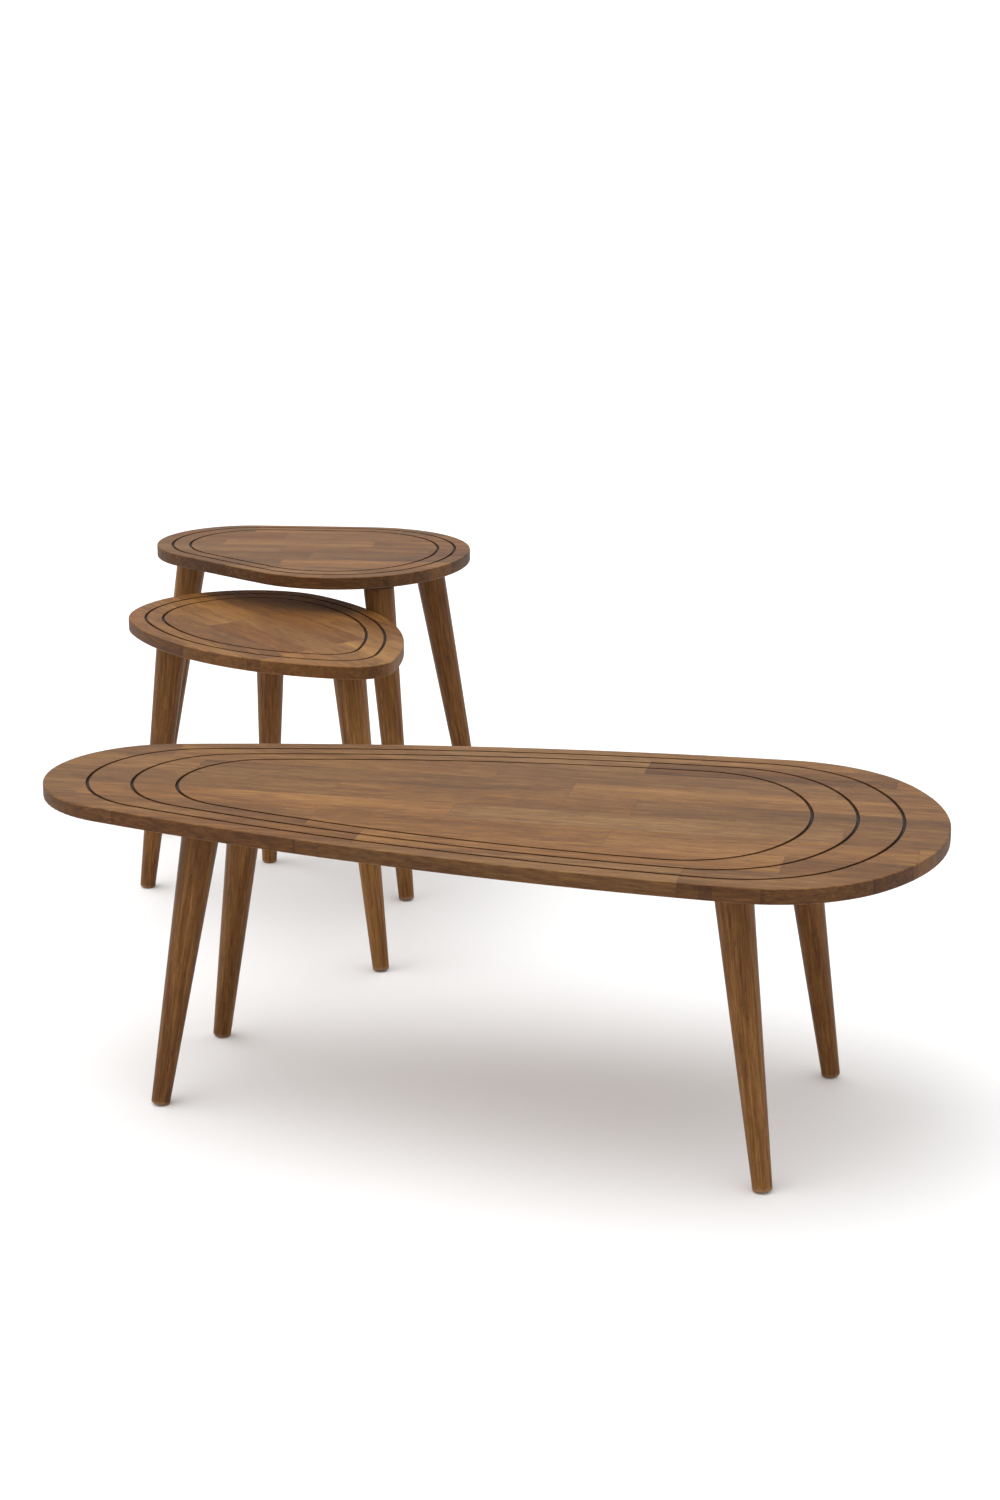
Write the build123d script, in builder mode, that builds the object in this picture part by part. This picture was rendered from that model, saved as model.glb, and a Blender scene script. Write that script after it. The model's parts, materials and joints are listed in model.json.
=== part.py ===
from build123d import *
import os
from dataclasses import dataclass
from math import acos, atan2, cos, degrees, hypot, radians, sin, tan

# Three nesting tables in solid wood: a long low coffee table on four legs, and a tall and a small
# side table on three legs each. Every top is an egg-shaped panel with routed rings, and every leg
# is a round taper that leans outwards and screws into a slanted steel plate under the top.
# Millimetres, +Z up, the floor is Z = 0, X runs along the coffee table. The origin is the middle of
# the floor rectangle that the whole set covers.

os.makedirs("parts", exist_ok=True)

# --- tabletops ---
top_thickness = 20.0
edge_round = 2.0
groove_width = 4.5
groove_depth = 3.0

# --- legs ---
lean = 10.0                 # degrees away from upright
leg_top_diameter = 50.0
leg_foot_diameter = 25.0
leg_top_round = 1.0
leg_foot_round = 2.0

# --- slanted leg plates ---
plate_side = 68.0
plate_corner = 12.0
plate_thickness = 3.0
boss_diameter = 46.0
seat_drop = 12.0            # underside of the top to the leg's end, along the leg

# --- hanger bolts, one in each leg ---
bolt_diameter = 8.0
bolt_stud = 9.0             # the part that stands out of the leg
bolt_wood = 38.0            # the part inside the leg
bolt_point = 5.0
bolt_chamfer = 1.0
bolt_clearance = 0.1
bolt_bore_spare = 2.0

# --- wood screws, four in each plate ---
screw_spacing = 46.0
screw_diameter = 3.6
screw_length = 14.0         # below the head
screw_point = 3.0
screw_tip_diameter = 0.9
screw_clearance = 0.1
screw_bore_spare = 1.0
head_diameter = 7.5
head_height = 2.2
head_round = 1.0
recess_length = 4.0
recess_width = 0.9
recess_depth = 1.2


@dataclass
class Leg:
    """One leg of a table: where its axis meets the underside, and which way it leans."""

    name: str
    end: int                # 1 at the wide end of the top, -1 at the narrow end
    end_inset: float        # from that end of the top
    offset: float           # from the top's long axis
    turn: float             # degrees, direction of the lean in the table's own frame


@dataclass
class Table:
    """One table, in its own frame: X towards the wide end of the top, the floor at Z = 0."""

    name: str
    height: float
    length: float
    width: float
    corner_radius: float    # the two round corners of the wide end
    corner_gap: float       # how much further than their radius the corners' centres lie from the end
    side_radius: float      # the long, nearly straight sides
    nose_radius: float      # the narrow end
    groove_scales: list
    groove_centre: float    # the rings shrink towards this point on the long axis
    legs: list
    place: tuple            # centre of the top on the floor plan, from the coffee table's centre
    turn: float             # degrees about Z


coffee = Table(
    name="coffee_table",
    height=420.0,
    length=1200.0,
    width=545.0,
    corner_radius=205.0,
    corner_gap=22.0,
    side_radius=3500.0,
    nose_radius=158.0,
    groove_scales=[0.9, 0.8, 0.7],
    groove_centre=20.0,
    legs=[
        Leg("front_left", -1, 249.0, -92.0, 205.0),
        Leg("back_left", -1, 249.0, 92.0, 155.0),
        Leg("front_right", 1, 252.0, -153.0, -38.0),
        Leg("back_right", 1, 209.0, 137.0, 38.0),
    ],
    place=(0.0, 0.0),
    turn=0.0,
)

small = Table(
    name="small_table",
    height=480.0,
    length=590.0,
    width=356.0,
    corner_radius=161.0,
    corner_gap=8.0,
    side_radius=465.0,
    nose_radius=56.0,
    groove_scales=[0.87, 0.74],
    groove_centre=50.0,
    legs=[
        Leg("left", 1, 112.0, 89.0, 20.0),
        Leg("back", 1, 112.0, -89.0, -20.0),
        Leg("right", -1, 83.0, 0.0, 180.0),
    ],
    place=(-483.0, 618.0),
    turn=138.0,
)

tall = Table(
    name="tall_table",
    height=540.0,
    length=545.0,
    width=430.0,
    corner_radius=192.0,
    corner_gap=4.0,
    side_radius=5000.0,
    nose_radius=150.0,
    groove_scales=[0.9, 0.79],
    groove_centre=14.0,
    legs=[
        Leg("left", -1, 47.0, 0.0, 190.0),
        Leg("front", 1, 90.0, -109.0, -38.0),
        Leg("right", 1, 104.0, 106.0, 40.0),
    ],
    place=(-536.0, 949.0),
    turn=-10.0,
)

tables = [coffee, small, tall]

# --- worked out from the sizes above ---
boss_reach = 2 * seat_drop  # past the underside of the top, where the level face cuts the boss
foot_radius = leg_foot_diameter / 2
foot_rise = (foot_radius - leg_foot_round) * sin(radians(lean)) + leg_foot_round * (1 - cos(radians(lean)))


def outline_arcs(table, scale=1.0, grow=0.0):
    """Six tangent arcs round the top, as (centre, radius, start angle, sweep) in the table's frame.

    The outline shrinks by scale towards the groove centre, and then grows outwards by grow.
    """
    corner_r, side_r, nose_r = table.corner_radius, table.side_radius, table.nose_radius
    gap = corner_r + table.corner_gap
    corner = (table.length / 2 - gap, table.width / 2 - corner_r)
    end_r = (gap**2 + corner[1] ** 2 - corner_r**2) / (2 * table.corner_gap)
    end = (table.length / 2 - end_r, 0.0)
    nose = (nose_r - table.length / 2, 0.0)
    # the side arc touches the corner and the nose from outside: its centre closes a triangle with theirs
    dx, dy = nose[0] - corner[0], nose[1] - corner[1]
    span = hypot(dx, dy)
    to_corner, to_nose = side_r - corner_r, side_r - nose_r
    opening = acos((to_corner**2 + span**2 - to_nose**2) / (2 * to_corner * span))
    heading = atan2(dy, dx) + opening
    side = (corner[0] + to_corner * cos(heading), corner[1] + to_corner * sin(heading))
    at_end = degrees(atan2(corner[1] - end[1], corner[0] - end[0]))
    at_corner = degrees(atan2(corner[1] - side[1], corner[0] - side[0]))
    at_nose = degrees(atan2(nose[1] - side[1], nose[0] - side[0]))
    arcs = [
        (end, end_r, -at_end, 2 * at_end),
        (corner, corner_r, at_end, at_corner - at_end),
        (side, side_r, at_corner, at_nose - at_corner),
        (nose, nose_r, at_nose, 360 - 2 * at_nose),
        ((side[0], -side[1]), side_r, -at_nose, at_nose - at_corner),
        ((corner[0], -corner[1]), corner_r, -at_corner, at_corner - at_end),
    ]
    fixed = table.groove_centre
    return [
        ((fixed + (x - fixed) * scale, y * scale), radius * scale + grow, start, sweep)
        for (x, y), radius, start, sweep in arcs
    ]


def to_plan(table, x, y):
    """A point of the table's frame, on the floor plan that starts at the coffee table's centre."""
    c, s = cos(radians(table.turn)), sin(radians(table.turn))
    return table.place[0] + x * c - y * s, table.place[1] + x * s + y * c


def socket_point(table, leg):
    """Where the leg's axis meets the underside of the top, in the table's frame."""
    return leg.end * (table.length / 2 - leg.end_inset), leg.offset


def foot_point(table, leg):
    """The middle of the leg's foot, in the table's frame."""
    reach = (table.height - top_thickness - foot_rise) * tan(radians(lean))
    x, y = socket_point(table, leg)
    return x + reach * cos(radians(leg.turn)), y + reach * sin(radians(leg.turn))


def plan_size():
    """Bounding box of all the tops and feet on the floor plan, which fixes the origin."""
    edges = []
    for table in tables:
        with BuildLine() as outline:
            for (x, y), radius, start, sweep in outline_arcs(table):
                CenterArc(to_plan(table, x, y), radius, start + table.turn, sweep)
        edges += outline.edges()
        for leg in table.legs:
            with BuildLine() as foot:
                CenterArc(to_plan(table, *foot_point(table, leg)), foot_radius, 0, 360)
            edges += foot.edges()
    return Compound(edges).bounding_box()


set_centre = plan_size().center()


def table_plane(table, height):
    """Level plane of a table at a height, with its X along the top's long axis."""
    origin = (table.place[0] - set_centre.X, table.place[1] - set_centre.Y, height)
    along = (cos(radians(table.turn)), sin(radians(table.turn)), 0)
    return Plane(origin=origin, x_dir=along, z_dir=(0, 0, 1))


def plate_plane(table, leg):
    """Level plane on the underside of the top, centred on the leg's socket and turned with its lean."""
    x, y = to_plan(table, *socket_point(table, leg))
    heading = radians(table.turn + leg.turn)
    origin = (x - set_centre.X, y - set_centre.Y, table.height - top_thickness)
    return Plane(origin=origin, x_dir=(cos(heading), sin(heading), 0), z_dir=(0, 0, 1))


def seat_plane(table, leg):
    """Plane square to the leg's axis at the leg's upper end, with Z up the leg."""
    plate = plate_plane(table, leg)
    across = plate.y_dir
    up = plate.z_dir.rotate(Axis((0, 0, 0), across), -lean)
    return Plane(origin=plate.origin - up * seat_drop, x_dir=across, z_dir=up)


def screw_planes(table, leg):
    """Planes of the four screws of a plate, on the plate's lower face, Z up into the top."""
    level = plate_plane(table, leg).offset(-plate_thickness)
    half = screw_spacing / 2
    corners = [(half, half), (-half, half), (-half, -half), (half, -half)]
    return [level.shift_origin(level.from_local_coords((x, y, 0))) for x, y in corners]


def outline_face(table, scale=1.0, grow=0.0):
    """Flat face inside the outline, in the table's frame."""
    with BuildSketch() as face:
        with BuildLine():
            for centre, radius, start, sweep in outline_arcs(table, scale, grow):
                CenterArc(centre, radius, start, sweep)
        make_face()
    return face.sketch


def make_top(table):
    """Panel with eased edges, routed rings and the pilot holes of the plate screws."""
    upper_face = table_plane(table, table.height)
    half_groove = groove_width / 2
    with BuildPart() as top:
        with BuildSketch(upper_face):
            add(outline_face(table))
        extrude(amount=-top_thickness)
        fillet(top.edges(), radius=edge_round)
        for scale in table.groove_scales:
            with BuildSketch(upper_face):
                add(outline_face(table, scale, half_groove))
                add(outline_face(table, scale, -half_groove), mode=Mode.SUBTRACT)
            extrude(amount=-groove_depth, mode=Mode.SUBTRACT)
        for leg in table.legs:
            for plane in screw_planes(table, leg):
                with BuildSketch(plane):
                    Circle(screw_diameter / 2 + screw_clearance)
                extrude(amount=screw_length + screw_bore_spare, mode=Mode.SUBTRACT)
    return top


def make_leg(table, leg):
    """Round tapered leg, cut square at both ends, with the bore of its hanger bolt."""
    seat = seat_plane(table, leg)
    length = (seat.origin.Z - foot_rise) / cos(radians(lean))
    with BuildPart() as body:
        with BuildSketch(seat):
            Circle(leg_top_diameter / 2)
        with BuildSketch(seat.offset(-length)):
            Circle(foot_radius)
        loft()
        rims = body.edges().filter_by(GeomType.CIRCLE).sort_by(Axis.Z)
        fillet(rims[-1], radius=leg_top_round)
        fillet(rims[0], radius=leg_foot_round)
        with BuildSketch(seat):
            Circle(bolt_diameter / 2 + bolt_clearance)
        extrude(amount=-(bolt_wood + bolt_bore_spare), mode=Mode.SUBTRACT)
    return body


def make_plate(table, leg):
    """Steel plate with a boss slanted to the leg's lean, a threaded hole and four screw holes."""
    level = plate_plane(table, leg)
    seat = seat_plane(table, leg)
    with BuildPart() as plate:
        with BuildSketch(level) as flange:
            Rectangle(plate_side, plate_side)
            chamfer(flange.vertices(), length=plate_corner)
        extrude(amount=-plate_thickness)
        with BuildSketch(seat):
            Circle(boss_diameter / 2)
        extrude(amount=boss_reach)
        split(bisect_by=level, keep=Keep.BOTTOM)
        with BuildSketch(seat):
            Circle(bolt_diameter / 2 + bolt_clearance)
        extrude(amount=boss_reach, mode=Mode.SUBTRACT)
        for plane in screw_planes(table, leg):
            with BuildSketch(plane):
                Circle(screw_diameter / 2 + screw_clearance)
            extrude(amount=plate_thickness, both=True, mode=Mode.SUBTRACT)
    return plate


def make_bolt():
    """Hanger bolt about Z: machine stud above Z = 0, wood thread with a point below."""
    with BuildPart() as bolt:
        with BuildSketch(Plane.XY.offset(bolt_stud)):
            Circle(bolt_diameter / 2)
        extrude(amount=-(bolt_stud + bolt_wood - bolt_point))
        chamfer(bolt.edges().sort_by(Axis.Z)[-1], length=bolt_chamfer)
        with BuildSketch(Plane.XY.offset(bolt_point - bolt_wood)):
            Circle(bolt_diameter / 2)
        with BuildSketch(Plane.XY.offset(-bolt_wood)):
            Circle(bolt_chamfer)
        loft()
    return bolt.part


def make_screw():
    """Wood screw about Z, its head below Z = 0 and its point upwards."""
    with BuildPart() as screw:
        with BuildSketch(Plane.XY):
            Circle(screw_diameter / 2)
        extrude(amount=screw_length - screw_point)
        with BuildSketch(Plane.XY.offset(screw_length - screw_point)):
            Circle(screw_diameter / 2)
        with BuildSketch(Plane.XY.offset(screw_length)):
            Circle(screw_tip_diameter / 2)
        loft()
        with BuildSketch(Plane.XY):
            Circle(head_diameter / 2)
        extrude(amount=-head_height)
        fillet(screw.edges().sort_by(Axis.Z)[0], radius=head_round)
        with BuildSketch(Plane.XY.offset(-head_height)):
            Rectangle(recess_length, recess_width)
            Rectangle(recess_width, recess_length)
        extrude(amount=recess_depth, mode=Mode.SUBTRACT)
    return screw.part


def write_node(shape, name):
    """Label a finished piece and write it as its own STEP file."""
    shape.label = name
    export_step(shape, f"parts/{name}.step")


bolt_shape = make_bolt()
screw_shape = make_screw()

for table in tables:
    top = make_top(table)
    write_node(top.part, f"{table.name}_top")
    for leg in table.legs:
        body = make_leg(table, leg)
        write_node(body.part, f"{table.name}_leg_{leg.name}")
        plate = make_plate(table, leg)
        write_node(plate.part, f"{table.name}_plate_{leg.name}")
    with BuildPart() as bolts:
        for leg in table.legs:
            add(bolt_shape.moved(seat_plane(table, leg).location))
    write_node(bolts.part, f"{table.name}_hanger_bolts")
    with BuildPart() as screws:
        for leg in table.legs:
            for plane in screw_planes(table, leg):
                add(screw_shape.moved(plane.location))
    write_node(screws.part, f"{table.name}_plate_screws")
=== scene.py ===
# %% [markdown]
# # Three nesting tables in stained solid wood
#
# The set is a long coffee table and two side tables, of which the small one slides under the tall
# one. A carpenter glues staves into panels, saws each panel to an egg shape and routs rings into
# it. The legs are turned tapers, and each one screws into a slanted steel plate under its top.
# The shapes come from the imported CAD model, so this lesson is mostly about finishes: wood that
# shows its staves, legs whose grain follows their own lean, and steel that nobody polished.

import json
from math import pi, radians

import bpy
import numpy as np
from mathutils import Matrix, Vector


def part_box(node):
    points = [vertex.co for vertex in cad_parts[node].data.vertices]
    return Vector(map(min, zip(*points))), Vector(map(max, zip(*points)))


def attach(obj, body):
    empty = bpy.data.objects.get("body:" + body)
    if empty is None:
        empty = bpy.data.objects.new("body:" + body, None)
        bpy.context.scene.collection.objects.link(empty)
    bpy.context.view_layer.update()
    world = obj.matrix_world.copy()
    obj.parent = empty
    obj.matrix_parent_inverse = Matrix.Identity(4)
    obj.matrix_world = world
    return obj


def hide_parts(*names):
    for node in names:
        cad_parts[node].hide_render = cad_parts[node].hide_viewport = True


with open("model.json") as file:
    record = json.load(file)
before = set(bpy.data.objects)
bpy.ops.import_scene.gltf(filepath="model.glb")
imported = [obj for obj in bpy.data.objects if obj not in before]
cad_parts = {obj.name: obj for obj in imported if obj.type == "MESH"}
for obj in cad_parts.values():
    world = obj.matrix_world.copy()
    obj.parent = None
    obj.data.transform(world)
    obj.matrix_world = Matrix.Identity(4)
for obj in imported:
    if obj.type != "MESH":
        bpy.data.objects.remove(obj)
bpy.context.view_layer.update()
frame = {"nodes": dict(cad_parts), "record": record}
nodes = frame["nodes"]
table_names = ["coffee_table", "small_table", "tall_table"]

# %% [markdown]
# ## Where each table stands
#
# A pattern has to run along the staves, and the staves run along each top, which is turned on the
# floor. The record doesn't list that turn, so it is measured: a top is turned step by step, and the
# turn that gives the narrowest box around it shows its long axis. A leg's axis runs from the middle
# of its foot to the middle of its upper end. Measuring the meshes keeps this script right when the
# tables move.

# %% Axes measured from the meshes
end_band = 0.004
half_degrees = 360  # in half a turn, after which a box repeats


def points_of(node):
    """Vertices of a CAD node, one row each."""
    return np.array([v.co for v in nodes[node].data.vertices], float)


def middle_of_end(points, top):
    """Middle of the highest or lowest few millimetres of a piece."""
    edge = points[:, 2].max() - end_band if top else points[:, 2].min() + end_band
    end = points[points[:, 2] > edge] if top else points[points[:, 2] < edge]
    return (end.min(axis=0) + end.max(axis=0)) / 2


def long_axis(points):
    """Middle of a top and the angle of its long axis, found as the narrowest box over all turns."""
    best = None
    for step in range(half_degrees):
        angle = radians(step / 2)
        along = points[:, 0] * np.cos(angle) + points[:, 1] * np.sin(angle)
        across = points[:, 1] * np.cos(angle) - points[:, 0] * np.sin(angle)
        if best is None or np.ptp(across) < best[0]:
            middle_along = (along.max() + along.min()) / 2
            middle_across = (across.max() + across.min()) / 2
            x = middle_along * np.cos(angle) - middle_across * np.sin(angle)
            y = middle_along * np.sin(angle) + middle_across * np.cos(angle)
            best = (np.ptp(across), angle, (x, y))
    return best[2], best[1]


leg_nodes = sorted(n for n in nodes if "_leg_" in n)
leg_axes = {}
for name in leg_nodes:
    points = points_of(name)
    foot = middle_of_end(points, top=False)
    leg_axes[name] = (foot, middle_of_end(points, top=True) - foot)
top_frames = {name: long_axis(points_of(name + "_top")) for name in table_names}
for name, (centre, angle) in top_frames.items():
    print(name, "top at", [round(v, 3) for v in centre], "turned", round(np.degrees(angle), 1))

# %% [markdown]
# ## A short way to write shader maths
#
# A wood finish needs dozens of small sums. Wiring Math nodes one by one hides the idea, so a
# `Value` wraps a socket and turns Python's operators into Math nodes.

# %% The Value class
class Value:
    """What a socket gives, with Python's operators."""

    def __init__(self, finish, socket):
        self.finish = finish
        self.socket = socket

    def __add__(self, other):
        return self.finish.math("ADD", self, other)

    __radd__ = __add__

    def __sub__(self, other):
        return self.finish.math("SUBTRACT", self, other)

    def __rsub__(self, other):
        return self.finish.math("SUBTRACT", other, self)

    def __mul__(self, other):
        return self.finish.math("MULTIPLY", self, other)

    __rmul__ = __mul__

    def __truediv__(self, other):
        return self.finish.math("DIVIDE", self, other)

    def __gt__(self, other):
        return self.finish.math("GREATER_THAN", self, other)

    def __lt__(self, other):
        return self.finish.math("LESS_THAN", self, other)

    def __abs__(self):
        return self.finish.math("ABSOLUTE", self)


print("values ready")

# %% [markdown]
# ## A material under construction
#
# A finish is built from the inside out: coordinates, then patterns, then colour, roughness and
# relief, and last one surface shader. All of it goes through `Finish.node`, which takes a node's
# type, its settings and its inputs. The other methods only give short names to nodes that wood,
# paint and plating all need.

# %% The Finish class
class Finish:
    """A material under construction."""

    def __init__(self, name):
        self.material = bpy.data.materials.new(name)
        self.material.use_nodes = True
        self.tree = self.material.node_tree
        self.tree.nodes.clear()

    def feed(self, socket, value):
        """Link a Value to a socket, or set the socket's own number, colour or vector."""
        if isinstance(value, Value):
            self.tree.links.new(value.socket, socket)
        else:
            socket.default_value = value

    def node(self, kind, inputs=(), output=0, stops=None, **settings):
        """Add a node: settings, then ramp stops, then inputs by name, identifier or index."""
        made = self.tree.nodes.new(kind)
        for key, value in settings.items():
            setattr(made, key, value)
        if stops:
            ramp = made.color_ramp
            while len(ramp.elements) < len(stops):
                ramp.elements.new(1.0)
            for element, (position, colour) in zip(ramp.elements, stops):
                element.position = position
                element.color = (*colour, 1.0)
        for key, value in dict(inputs).items():
            by_name = [s for s in made.inputs if key in (s.identifier, s.name)]
            self.feed(made.inputs[key] if isinstance(key, int) else by_name[0], value)
        if isinstance(output, int):
            return Value(self, made.outputs[output])
        return Value(self, next(s for s in made.outputs if output in (s.identifier, s.name)))

    def math(self, operation, *values):
        return self.node("ShaderNodeMath", dict(enumerate(values)), operation=operation)

    def part(self, vector):
        """The three numbers of a vector."""
        first = self.node("ShaderNodeSeparateXYZ", {"Vector": vector})
        return [Value(self, s) for s in first.socket.node.outputs]

    def join(self, x, y, z):
        return self.node("ShaderNodeCombineXYZ", {0: x, 1: y, 2: z})

    def noise(self, vector, scale, detail=2.0, roughness=0.5, distortion=0.0):
        inputs = {
            "Vector": vector,
            "Scale": scale,
            "Detail": detail,
            "Roughness": roughness,
            "Distortion": distortion,
        }
        return self.node("ShaderNodeTexNoise", inputs, output="Fac")

    def chance(self, vector):
        """Three random numbers from 0 to 1 that stay the same over a whole cell."""
        colour = self.node("ShaderNodeTexWhiteNoise", {"Vector": vector}, output="Color")
        return self.part(colour)

    def clamp(self, value):
        """The value, held between 0 and 1."""
        return self.node("ShaderNodeClamp", {"Value": value})

    def ramp(self, value, stops):
        return self.node("ShaderNodeValToRGB", {"Fac": value}, stops=stops, output="Color")

    def mix(self, factor, a, b, blend="MIX"):
        """Colours mixed by a factor."""
        inputs = {"Factor_Float": factor, "A_Color": a, "B_Color": b}
        settings = {"data_type": "RGBA", "blend_type": blend}
        return self.node("ShaderNodeMix", inputs, output="Result_Color", **settings)

    def place(self, location, rotation):
        """Object coordinates, seen from a piece's own corner and turn."""
        coordinates = self.node("ShaderNodeTexCoord", output="Object")
        inputs = {"Vector": coordinates, "Location": location, "Rotation": rotation}
        return self.node("ShaderNodeMapping", inputs, vector_type="TEXTURE")

    def surface(self, colour, roughness, height, bump_distance, **fixed):
        """Finish the tree with one Principled BSDF. The fixed values are the same all over."""
        bump = {"Height": height, "Distance": bump_distance, "Strength": 1.0}
        inputs = {
            "Base Color": colour,
            "Roughness": roughness,
            "Normal": self.node("ShaderNodeBump", bump),
        }
        inputs.update({key.replace("_", " "): value for key, value in fixed.items()})
        shader = self.node("ShaderNodeBsdfPrincipled", inputs)
        exit_node = self.tree.nodes.new("ShaderNodeOutputMaterial")
        self.feed(exit_node.inputs["Surface"], shader)
        return self.material


def dress(node, material):
    """Give a CAD node one material on all its faces."""
    slots = nodes[node].data.materials
    if not slots:
        slots.append(material)
    for index in range(len(slots)):
        slots[index] = material


print("shader helpers ready")

# %% [markdown]
# ## The tops: staves under a walnut stain
#
# A wide panel of solid wood is made from narrow staves, glued edge to edge and butted end to end.
# Each stave comes from another board, so its tone, its hue and its figure change at every joint.
# The stain then pulls them together, but not fully. An image texture couldn't cover three tops of
# different shapes without repeating, so the staves are computed: a row number across the panel, a
# piece number along the row, and three random numbers for each piece.
#
# The grain is solid, not painted on: it is read in three dimensions, so the edge of a top shows
# the ends of the same fibres. End grain drinks more stain, which makes the edge darker, and painted
# shade on every upright face darkens it further.

# %% Grain that both the tops and the legs use
class Wood(Finish):
    """Wood with its fibres along the X of the vector that it is given."""

    def grain(self, x, y, z):
        """Slow figure, streaks and fibres, each about 0 with a spread of about 0.1 to 0.2."""
        figure = self.noise(self.join(x * 2.2, y * 13.0, z * 13.0), 1.0, 3.0, 0.55, 0.6)
        streak = self.noise(self.join(x * 8.0, y * 130.0, z * 130.0), 1.0, 6.0, 0.72, 0.3)
        fibre = self.noise(self.join(x * 30.0, y * 300.0, z * 300.0), 1.0, 5.0, 0.75)
        return figure - 0.5, streak - 0.5, fibre - 0.5

    def pores(self, x, y, z):
        """Short open vessels, 1 where the stain collects in one."""
        dots = self.noise(self.join(x * 130.0, y * 1500.0, z * 1500.0), 1.0, 2.0, 0.5)
        return self.clamp((dots - 0.62) * 9.0)


print("grain ready")

# %% [markdown]
# ## From stave to colour
#
# Grain alone gives a level between dark and light, and a ramp of walnut tones turns the level into
# a colour. Then come the things that a finisher can't avoid: pores that fill with stain, glue lines
# that show as hair-thin seams, and sawn edges that drink more, whose darkness is partly painted
# shade.
# The ring bottoms are painted almost black as shade. They are laid over the colour one after the
# other, each as a mix with a darker brown.

# %% The finish of a top
# every colour below is linear, and those that are mixed in carry an alpha of 1
redder_stave = (1.07, 0.95, 0.76, 1.0)
filled_pore = (0.045, 0.020, 0.009, 1.0)
glue_line = (0.05, 0.022, 0.010, 1.0)
# darker brown for the upright faces: partly end-grain stain, partly painted shade
edge_stain_and_shade_tint = (0.34, 0.27, 0.20, 1.0)
# almost black, painted into the ring bottoms as shade
painted_ring_shade = (0.010, 0.005, 0.003, 1.0)
seam_width = 0.00035
walnut_tones = [
    (0.0, (0.038, 0.014, 0.004)),
    (0.25, (0.085, 0.036, 0.011)),
    (0.5, (0.168, 0.078, 0.025)),
    (0.75, (0.262, 0.140, 0.052)),
    (1.0, (0.375, 0.222, 0.096)),
]


def stained_top(name, place, thickness, seed, stave, contrast, depth, warmth):
    """The finish of one top, with its origin and turn in place.

    A stave is (width, usual length) in metres. Contrast is the spread of tone from stave to
    stave, depth the usual tone from dark 0 to light 1, and warmth how much blue is held back.
    """
    wood = Wood(name)
    x, y, z = wood.part(wood.place(*place))
    across = y / stave[0] + 0.37
    row = wood.math("FLOOR", across)
    shift, stretch, _ = wood.chance(wood.join(row, seed, 0.5))
    along = x / stave[1] * (stretch * 0.6 + 0.75) + shift * 5.0 + 20.0
    piece = wood.math("FLOOR", along)
    tone, hue, cut = wood.chance(wood.join(row, piece, seed + 7.3))
    figure, streak, fibre = wood.grain(x + cut * 9.0, y + hue * 3.0, z + tone * 3.0)
    vessels = wood.pores(x + cut, y, z)
    # the finest grain weighs most, so that a top looks even from afar and lively from near
    level = depth + (tone - 0.5) * contrast + figure * 0.65 + streak * 0.85 + fibre * 0.95
    warm = (1.0, 1.0 - 0.12 * warmth, 1.0 - 0.4 * warmth, 1.0)
    colour = wood.mix(1.0, wood.ramp(level, walnut_tones), warm, "MULTIPLY")
    redder = wood.mix(1.0, colour, redder_stave, "MULTIPLY")
    colour = wood.mix(wood.clamp(hue * 1.3 - 0.3), colour, redder)
    colour = wood.mix(vessels * 0.35, colour, filled_pore)
    # a glue line shows as a hair-thin darker seam between two staves
    seam_across = abs(wood.math("FRACT", across) - 0.5) > 0.5 - seam_width / stave[0]
    seam_along = abs(wood.math("FRACT", along) - 0.5) > 0.5 - seam_width / stave[1]
    seam = wood.math("MAXIMUM", seam_across, seam_along)
    colour = wood.mix(seam * 0.4, colour, glue_line)
    # the sawn edge and the ring walls are darkened: partly by the stain that end grain drinks,
    # partly as painted shade on every upright face
    facing = wood.node("ShaderNodeNewGeometry", output="Normal")
    upright = abs(wood.part(facing)[2])
    edge = wood.clamp((0.75 - upright) * 2.5)
    edge_stain_and_shade_colour = wood.mix(1.0, colour, edge_stain_and_shade_tint, "MULTIPLY")
    colour = wood.mix(edge * 0.72, colour, edge_stain_and_shade_colour)
    # painted shade: the flat bottom of a ring, a little below the face, is painted almost black
    ring_shade_mask = (z < -0.001) * (z > -thickness / 2) * (upright > 0.9)
    colour = wood.mix(ring_shade_mask * 0.96, colour, painted_ring_shade)
    rough = 0.5 + streak * 0.25 + fibre * 0.12 + edge * 0.12 + vessels * 0.1
    relief = streak * 0.35 + fibre * 0.5 - vessels * 0.8 - seam * 0.6
    return wood.surface(colour, rough, relief, 0.00022, Specular_IOR_Level=0.2)


print("walnut tones:", len(walnut_tones))

# %% [markdown]
# ## Three tops, three looks
#
# The long top has the widest and longest staves. The small top is the liveliest: its wood is
# lighter and warmer, and its staves differ most. The tall top is a little darker and the most even.
# Each top has its own seed, so no two show the same boards.

# %% Each top's own look
top_looks = {
    "coffee_table": {"stave": (0.062, 0.42), "contrast": 0.2, "depth": 0.49, "warmth": 0.1},
    "small_table": {"stave": (0.052, 0.21), "contrast": 0.34, "depth": 0.57, "warmth": 0.8},
    "tall_table": {"stave": (0.055, 0.24), "contrast": 0.18, "depth": 0.46, "warmth": 0.1},
}
for number, (name, look) in enumerate(top_looks.items()):
    low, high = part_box(name + "_top")
    centre, angle = top_frames[name]
    place = ((centre[0], centre[1], high.z), (0.0, 0.0, angle))
    seed = number * 11.0 + 2.0
    material = stained_top("walnut_stain_" + name, place, high.z - low.z, seed, **look)
    dress(name + "_top", material)
    print(name, "staves", look["stave"], "thickness", round(high.z - low.z, 4))

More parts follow.
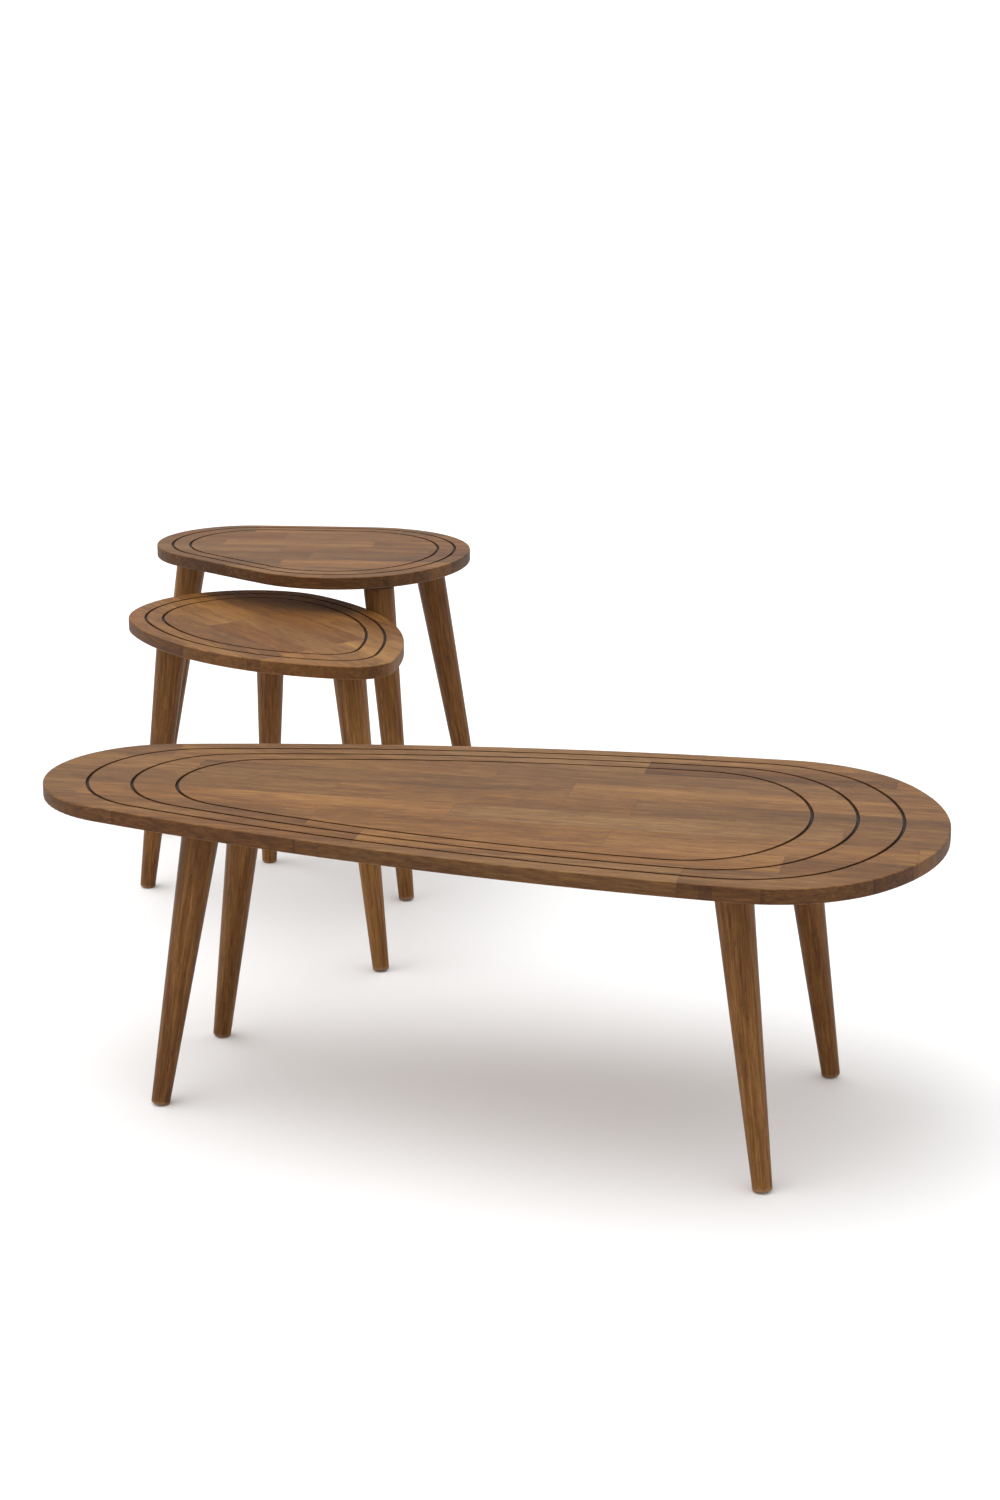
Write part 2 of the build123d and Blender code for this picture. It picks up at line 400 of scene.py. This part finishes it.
# %% [markdown]
# ## The legs: one length of wood, turned to a taper
#
# A leg is turned from a single square of wood, so its fibres run from end to end, and its surface
# cuts across them at a slight angle, which draws long pointed streaks. The legs lean ten degrees in
# ten different directions. One pattern for all of them would cut through the leg at an angle, so
# each leg gets its own finish, placed on its foot and turned with its axis. The stain is darker
# here, and short flecks catch it.

# %% Leg finishes
leg_pore = (0.030, 0.013, 0.006, 1.0)
bare_wood = (0.330, 0.215, 0.125, 1.0)
leg_tones = [
    (0.0, (0.032, 0.010, 0.002)),
    (0.3, (0.082, 0.030, 0.007)),
    (0.55, (0.160, 0.067, 0.017)),
    (0.8, (0.265, 0.126, 0.040)),
    (1.0, (0.370, 0.205, 0.080)),
]


def stained_leg(name, foot, axis, seed):
    """The finish of one leg, with the fibres along its axis."""
    wood = Wood(name)
    turn = Vector(axis).to_track_quat("X", "Z").to_euler()
    x, y, z = wood.part(wood.place(tuple(foot), tuple(turn)))
    figure, streak, fibre = wood.grain(x + seed * 1.7, y * 1.6 + seed * 0.9, z * 1.6)
    vessels = wood.pores(x * 0.5 + seed, y * 0.6, z * 0.6)
    # each leg is a little lighter or darker than the next
    tone = ((seed * 37) % 10) / 10 - 0.45
    level = 0.52 + tone * 0.16 + figure * 0.6 + streak * 1.1 + fibre * 0.75
    colour = wood.ramp(level, leg_tones)
    colour = wood.mix(vessels * 0.55, colour, leg_pore)
    # the rim of the foot is rubbed, and lets the bare wood show
    worn = wood.clamp((0.006 - x) * 300.0 + streak * 2.0) * 0.35
    colour = wood.mix(worn, colour, bare_wood)
    rough = 0.44 + streak * 0.3 + vessels * 0.12 + worn * 0.2
    relief = streak * 0.4 + fibre * 0.5 - vessels * 0.9
    return wood.surface(colour, rough, relief, 0.00025, Specular_IOR_Level=0.12)


for seed, name in enumerate(leg_nodes):
    foot, axis = leg_axes[name]
    dress(name, stained_leg("walnut_stain_" + name, foot, axis, seed + 1))
print("legs finished:", len(leg_nodes))

# %% [markdown]
# ## Black plates and zinc-plated fixings
#
# The slanted plates are pressed steel with a black powder coat. The powder melts into a
# skin with a fine orange peel, and it wears to grey where it rubs. The hanger bolts are plated with
# zinc, which grows crystals of slightly different greys.

# %% Metal finishes
new_powder = (0.011, 0.011, 0.012, 1.0)
rubbed_powder = (0.050, 0.048, 0.046, 1.0)
zinc_greys = [(0.2, (0.30, 0.29, 0.27)), (0.55, (0.52, 0.52, 0.51)), (0.9, (0.66, 0.67, 0.68))]


def powder_coat(name):
    """Black paint baked from powder, rubbed grey here and there."""
    coat = Finish(name)
    position = coat.node("ShaderNodeTexCoord", output="Object")
    peel = coat.noise(position, 700.0, 2.0, 0.5)
    dust = coat.noise(position, 35.0, 4.0, 0.65)
    rubbed = coat.clamp((dust - 0.60) * 6.0)
    colour = coat.mix(rubbed * 0.5, new_powder, rubbed_powder)
    rough = 0.42 + (peel - 0.5) * 0.15 + rubbed * 0.2
    return coat.surface(colour, rough, peel, 0.00015, Specular_IOR_Level=0.5)


def zinc_plate(name):
    """Zinc in small crystals of slightly different greys."""
    zinc = Finish(name)
    position = zinc.node("ShaderNodeTexCoord", output="Object")
    crystals = {"Vector": position, "Scale": 900.0}
    grains = zinc.node("ShaderNodeTexVoronoi", crystals, output="Color")
    tarnish = zinc.noise(position, 160.0, 4.0, 0.6)
    level = zinc.part(grains)[0] * 0.35 + tarnish * 0.65
    colour = zinc.ramp(level, zinc_greys)
    rough = 0.30 + tarnish * 0.25
    return zinc.surface(colour, rough, level, 0.00004, Metallic=1.0)


black_coat = powder_coat("black_powder_coat")
zinc_finish = zinc_plate("zinc_plating")
for name in nodes:
    if "_plate_" in name and not name.endswith("_plate_screws"):
        dress(name, black_coat)
    if name.endswith(("_hanger_bolts", "_plate_screws")):
        dress(name, zinc_finish)
print("plates:", sum("_plate_" in n for n in nodes) - len(table_names))

# %% [markdown]
# ## Wood screws, by Geometry Nodes
#
# Forty screws hold the plates. They are all alike, so one screw is built in a node tree: a shank, a
# point, a domed head with a cross recess, and a thread that is a small triangle swept along a
# spiral. The tree then puts a copy on every point of a mesh that holds nothing but the places of
# the screws. Each place is read from the CAD screws, so the heads sit on their plates.

# %% A short way to write Geometry Nodes
class Tree:
    """A Geometry Nodes tree under construction."""

    def __init__(self, name):
        self.group = bpy.data.node_groups.new(name, "GeometryNodeTree")
        for side in ("INPUT", "OUTPUT"):
            self.socket("Geometry", side, "NodeSocketGeometry")
        self.entry = self.group.nodes.new("NodeGroupInput")
        self.identifiers = {}

    def socket(self, name, side, kind):
        return self.group.interface.new_socket(name, in_out=side, socket_type=kind)

    def size(self, name, value):
        """A named input of the tree."""
        socket = self.socket(name, "INPUT", "NodeSocketFloat")
        socket.default_value = value
        self.identifiers[name] = socket.identifier
        return self.entry.outputs[name]

    def node(self, kind, inputs=(), output=0, **settings):
        made = self.group.nodes.new(kind)
        for key, value in settings.items():
            setattr(made, key, value)
        for key, value in dict(inputs).items():
            socket = made.inputs[key]
            for item in value if isinstance(value, list) else [value]:
                if isinstance(item, bpy.types.NodeSocket):
                    self.group.links.new(item, socket)
                else:
                    socket.default_value = item
        return made.outputs[output]

    def sum(self, operation, a, b):
        return self.node("ShaderNodeMath", {0: a, 1: b}, operation=operation)

    def lift(self, geometry, height):
        """The geometry, moved along Z."""
        offset = self.node("ShaderNodeCombineXYZ", {"Z": height})
        return self.node("GeometryNodeTransform", {"Geometry": geometry, "Translation": offset})


print("tree helper ready")

# %% [markdown]
# ## One screw, and a copy on every place
#
# The underside of the head is at Z = 0 and the point looks upwards, into the wood. The head is the
# lower half of a flattened ball, and two crossed bars are cut out of it for the driver. The screw
# is sized by the tree's named inputs, so a longer screw needs no new nodes.

# %% The screw tree
head_rise = 0.0022


def screw_tree():
    """A tree that puts one screw on each point of the mesh it is given."""
    tree = Tree("wood_screws")
    length = tree.size("Length", 0.014)
    shank = tree.size("Core Radius", 0.0013)
    crest = tree.size("Thread Radius", 0.0018)
    head = tree.size("Head Radius", 0.00375)
    rise = tree.size("Head Height", head_rise)
    point = tree.size("Point Length", 0.003)
    turns = tree.size("Thread Turns", 7.0)
    body_length = tree.sum("SUBTRACT", length, point)
    body = tree.node(
        "GeometryNodeMeshCone",
        {"Vertices": 16, "Radius Top": shank, "Radius Bottom": shank, "Depth": body_length},
    )
    tip = tree.node(
        "GeometryNodeMeshCone",
        {"Vertices": 16, "Radius Top": 0.0002, "Radius Bottom": shank, "Depth": point},
    )
    tip = tree.lift(tip, body_length)
    # the ball is flattened to the head's height, and its upper half goes
    ball = tree.node("GeometryNodeMeshUVSphere", {"Segments": 24, "Rings": 12, "Radius": head})
    flatness = tree.sum("DIVIDE", rise, head)
    squash = tree.node("ShaderNodeCombineXYZ", {"X": 1.0, "Y": 1.0, "Z": flatness})
    ball = tree.node("GeometryNodeTransform", {"Geometry": ball, "Scale": squash})
    upper = tree.node("GeometryNodeMeshCube", {"Size": (0.02, 0.02, 0.02)})
    upper = tree.lift(upper, 0.01)
    bar_deep = tree.sum("MULTIPLY", rise, 1.2)
    arm = tree.sum("MULTIPLY", head, 1.05)
    slim = tree.sum("MULTIPLY", head, 0.24)
    bars = []
    for x, y in ((arm, slim), (slim, arm)):
        size = tree.node("ShaderNodeCombineXYZ", {"X": x, "Y": y, "Z": bar_deep})
        bar = tree.node("GeometryNodeMeshCube", {"Size": size})
        bars.append(tree.lift(bar, tree.sum("MULTIPLY", rise, -1.15)))
    domed = tree.node(
        "GeometryNodeMeshBoolean",
        {"Mesh 1": ball, "Mesh 2": [upper, *bars]},
        operation="DIFFERENCE",
        solver="EXACT",
    )
    spiral = tree.node(
        "GeometryNodeCurveSpiral",
        {
            "Resolution": 14,
            "Rotations": turns,
            "Start Radius": shank,
            "End Radius": shank,
            "Height": tree.sum("MULTIPLY", body_length, 0.92),
        },
    )
    tooth_size = tree.sum("SUBTRACT", crest, shank)
    tooth = tree.node(
        "GeometryNodeCurvePrimitiveCircle",
        {"Resolution": 3, "Radius": tooth_size},
        mode="RADIUS",
    )
    thread = tree.node(
        "GeometryNodeCurveToMesh",
        {"Curve": spiral, "Profile Curve": tooth, "Fill Caps": True},
    )
    screw = tree.node("GeometryNodeJoinGeometry", {"Geometry": [body, tip, domed, thread]})
    copies = tree.node(
        "GeometryNodeInstanceOnPoints",
        {"Points": tree.entry.outputs["Geometry"], "Instance": screw},
    )
    real = tree.node("GeometryNodeRealizeInstances", {"Geometry": copies})
    finished = tree.node(
        "GeometryNodeSetMaterial",
        {"Geometry": real, "Material": zinc_finish},
    )
    exit_node = tree.group.nodes.new("NodeGroupOutput")
    tree.group.links.new(finished, exit_node.inputs["Geometry"])
    return tree


screws = screw_tree()
print("nodes in the screw tree:", len(screws.group.nodes))

# %% [markdown]
# ## Every screw in its place
#
# The screws of one table are one mesh in the CAD. Vertices that lie closer together than two
# screws can be belong to one screw, and the middle of their box is its axis. The lowest point of
# that mesh is the top of a head, which gives the height of the seat.

# %% The screws of each table
screw_gap = 0.012


def screw_places(points):
    """The middle of each CAD screw."""
    places = []
    left = points
    while len(left):
        distance = np.hypot(left[:, 0] - left[0, 0], left[:, 1] - left[0, 1])
        group = left[distance < screw_gap]
        places.append((group.min(axis=0) + group.max(axis=0)) / 2)
        left = left[distance >= screw_gap]
    return places


def on_every_place(name, places, seat, length):
    """An object with a screw on every place, as plain mesh."""
    scene = bpy.context.scene.collection
    mesh = bpy.data.meshes.new(name + "_places")
    mesh.from_pydata([(p[0], p[1], seat) for p in places], [], [])
    host = bpy.data.objects.new(name + "_places", mesh)
    scene.objects.link(host)
    modifier = host.modifiers.new("screws", "NODES")
    modifier.node_group = screws.group
    modifier[screws.identifiers["Length"]] = length
    modifier[screws.identifiers["Head Height"]] = head_rise
    graph = bpy.context.evaluated_depsgraph_get()
    made = bpy.data.meshes.new_from_object(host.evaluated_get(graph))
    host.modifiers.remove(modifier)
    bpy.data.objects.remove(host)
    piece = bpy.data.objects.new(name, made)
    scene.objects.link(piece)
    return piece


bodies = frame["record"]["behaviour"]["bodies"]
body_of = {node: body for body, members in bodies.items() for node in members}
for name in table_names:
    node = name + "_plate_screws"
    points = points_of(node)
    seat = points[:, 2].min() + head_rise
    places = screw_places(points)
    length = points[:, 2].max() - seat
    piece = on_every_place(name + "_wood_screws", places, seat, length)
    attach(piece, body_of[node])
    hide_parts(node)
    print(piece.name, "screws", len(places), "faces", len(piece.data.polygons))

# %% [markdown]
# ## A pale room
#
# Furniture like this is shown on a white floor under wide, soft light, so that the wood does the
# talking. One floor is enough, because it runs on until it meets a sky that is just as white.

# %% Floor
floor_reach = 400.0
floor_corners = [(-1, -1), (1, -1), (1, 1), (-1, 1)]
floor_mesh = bpy.data.meshes.new("studio_floor")
floor_mesh.from_pydata(
    [(x * floor_reach, y * floor_reach, 0) for x, y in floor_corners],
    [],
    [(0, 1, 2, 3)],
)
floor = bpy.data.objects.new("studio_floor", floor_mesh)
bpy.context.scene.collection.objects.link(floor)
paint = Finish("studio_floor_paint")
spot = paint.node("ShaderNodeTexCoord", output="Object")
cloud = paint.noise(spot, 1.3, 3.0, 0.5)
pale = paint.ramp(cloud, [(0.3, (0.91, 0.91, 0.91)), (0.7, (0.94, 0.94, 0.94))])
rough = 0.7 + cloud * 0.1
floor_mesh.materials.append(paint.surface(pale, rough, cloud, 0.0005, Specular_IOR_Level=0.2))
print("floor reaches", floor_reach, "metres each way")

# %% [markdown]
# ## The sky
#
# The sky is white near the horizon, so that no line shows behind the tables, and white again
# overhead, like a large panel lamp. It is greyer between, so that the legs have a dark side.

# %% Sky
# the brightness of the sky, from the horizon at 0 to straight overhead at 1
sky_stops = [(0.0, 1.0), (0.03, 1.0), (0.12, 0.45), (0.55, 0.60), (0.78, 1.0)]
sky = bpy.data.worlds.new("studio_sky")
sky.use_nodes = True
sky_tree = sky.node_tree
direction = sky_tree.nodes.new("ShaderNodeTexCoord")
parts = sky_tree.nodes.new("ShaderNodeSeparateXYZ")
shades = sky_tree.nodes.new("ShaderNodeValToRGB")
background = sky_tree.nodes["Background"]
sky_tree.links.new(direction.outputs["Generated"], parts.inputs[0])
sky_tree.links.new(parts.outputs["Z"], shades.inputs["Fac"])
while len(shades.color_ramp.elements) < len(sky_stops):
    shades.color_ramp.elements.new(1.0)
for element, (height, shade) in zip(shades.color_ramp.elements, sky_stops):
    element.position = height
    element.color = (shade, shade, shade, 1.0)
sky_tree.links.new(shades.outputs["Color"], background.inputs["Color"])
background.inputs["Strength"].default_value = 1.35
bpy.context.scene.world = sky
print("sky steps:", len(sky_stops))

# %% [markdown]
# ## One soft sun
#
# A single very wide sun from the front and left adds the faint shadows that put the feet on the
# floor, and it lights the faces of the legs that look forwards.

# %% Sun
lamp_data = bpy.data.lights.new("key_light", "SUN")
lamp_data.energy = 1.15
lamp_data.angle = radians(60)
lamp = bpy.data.objects.new("key_light", lamp_data)
lamp.rotation_euler = Vector((0.45, 0.2, -1.0)).to_track_quat("-Z", "Y").to_euler()
bpy.context.scene.collection.objects.link(lamp)
# the plain view keeps a white floor white
bpy.context.scene.view_settings.view_transform = "Standard"
print("sun energy:", lamp_data.energy)

# %% [markdown]
# ## The camera
#
# The camera stands at eye height for someone sitting on a high chair. It looks down by sixteen
# degrees and turns a little to the left. A 60 mm lens keeps the near legs from bulging.

# %% Camera
camera_data = bpy.data.cameras.new("camera")
camera_data.lens = 60.0
camera_data.sensor_width = 36.0
camera_data.clip_end = 900.0  # beyond the far edge of the floor
camera = bpy.data.objects.new("camera", camera_data)
camera.location = (0.8768, -3.4511, 1.3776)
camera.rotation_euler = (pi / 2 - radians(16.04), 0.0, radians(13.5))
bpy.context.scene.collection.objects.link(camera)
bpy.context.scene.camera = camera
print("camera at:", [round(v, 3) for v in camera.location])
